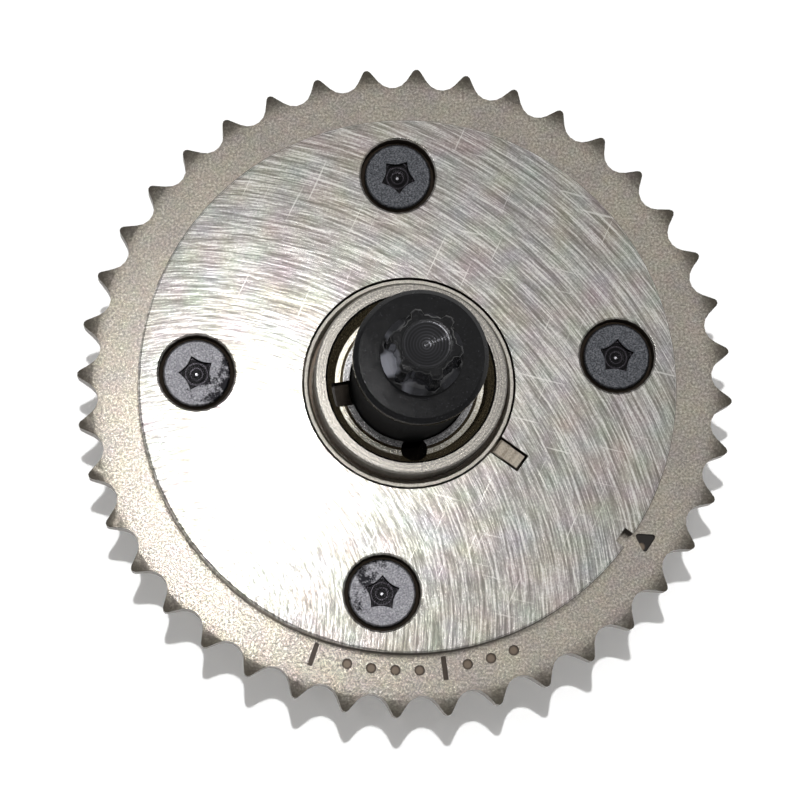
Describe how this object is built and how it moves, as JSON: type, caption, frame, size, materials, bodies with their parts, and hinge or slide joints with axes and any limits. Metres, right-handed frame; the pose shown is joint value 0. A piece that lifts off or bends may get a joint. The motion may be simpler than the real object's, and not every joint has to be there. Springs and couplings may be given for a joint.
{
  "type": "variable-timing camshaft sprocket",
  "caption": "Variable-timing camshaft sprocket: roller-chain teeth round a vane phaser, with a ground front cover, a raised hub and a tall central bolt with a star-shaped head.",
  "frame": {"origin": "on the axis, in the plane of the rear face, which the part stands on", "axes": "+Z along the axis from the camshaft's side to the central bolt; +X is to the right and +Y is up in the picture"},
  "size_m": [0.1228, 0.1228, 0.086],
  "materials": {
    "sintered_steel": "sintered and blasted, warm grey",
    "cover_steel": "sintered, ground on its faces",
    "ground_steel": "ground, with fine swirl scratches",
    "machined_steel": "turned",
    "hub_steel": "turned and blasted, brown with oil inside the mouth",
    "black_oxide": "black oxide, oiled and glossy",
    "screw_steel": "dark, worn bright on the high spots",
    "hardened_steel": "ground",
    "spring_steel": "tempered to a tan colour",
    "seal_plastic": "moulded"
  },
  "bodies": {
    "housing_body": {"sprocket_housing": "sintered_steel", "rear_cover": "cover_steel", "front_cover": "ground_steel", "front_bush": "machined_steel", "return_spring": "spring_steel", "cover_dowel": "hardened_steel", "lock_bush": "hardened_steel", "cover_screw_1": "screw_steel", "cover_screw_2": "screw_steel", "cover_screw_3": "screw_steel", "cover_screw_4": "screw_steel", "lobe_seal_1": "seal_plastic", "lobe_seal_2": "seal_plastic", "lobe_seal_3": "seal_plastic", "lobe_seal_4": "seal_plastic", "lobe_seal_spring_1": "spring_steel", "lobe_seal_spring_2": "spring_steel", "lobe_seal_spring_3": "spring_steel", "lobe_seal_spring_4": "spring_steel"},
    "rotor_body": {"rotor": "hub_steel", "central_bolt": "black_oxide", "lock_pin_cap": "machined_steel", "lock_pin_spring": "spring_steel", "vane_seal_1": "seal_plastic", "vane_seal_2": "seal_plastic", "vane_seal_3": "seal_plastic", "vane_seal_4": "seal_plastic", "vane_seal_spring_1": "spring_steel", "vane_seal_spring_2": "spring_steel", "vane_seal_spring_3": "spring_steel", "vane_seal_spring_4": "spring_steel"},
    "lock_pin_body": {"lock_pin": "hardened_steel"}
  },
  "joints": [
    {"name": "rotor_phase", "type": "hinge", "parent": "housing_body", "child": "rotor_body", "pos_m": [0, 0, 0.02], "axis": [0, 0, 1], "range_deg": [-12, 12]},
    {"name": "lock_pin_slide", "type": "slide", "parent": "rotor_body", "child": "lock_pin_body", "axis": [0, 0, 1], "range_m": [0, 0.002], "stiffness_N_per_m": 500, "springref_m": -0.004, "deforming": ["lock_pin_spring"]}
  ]
}
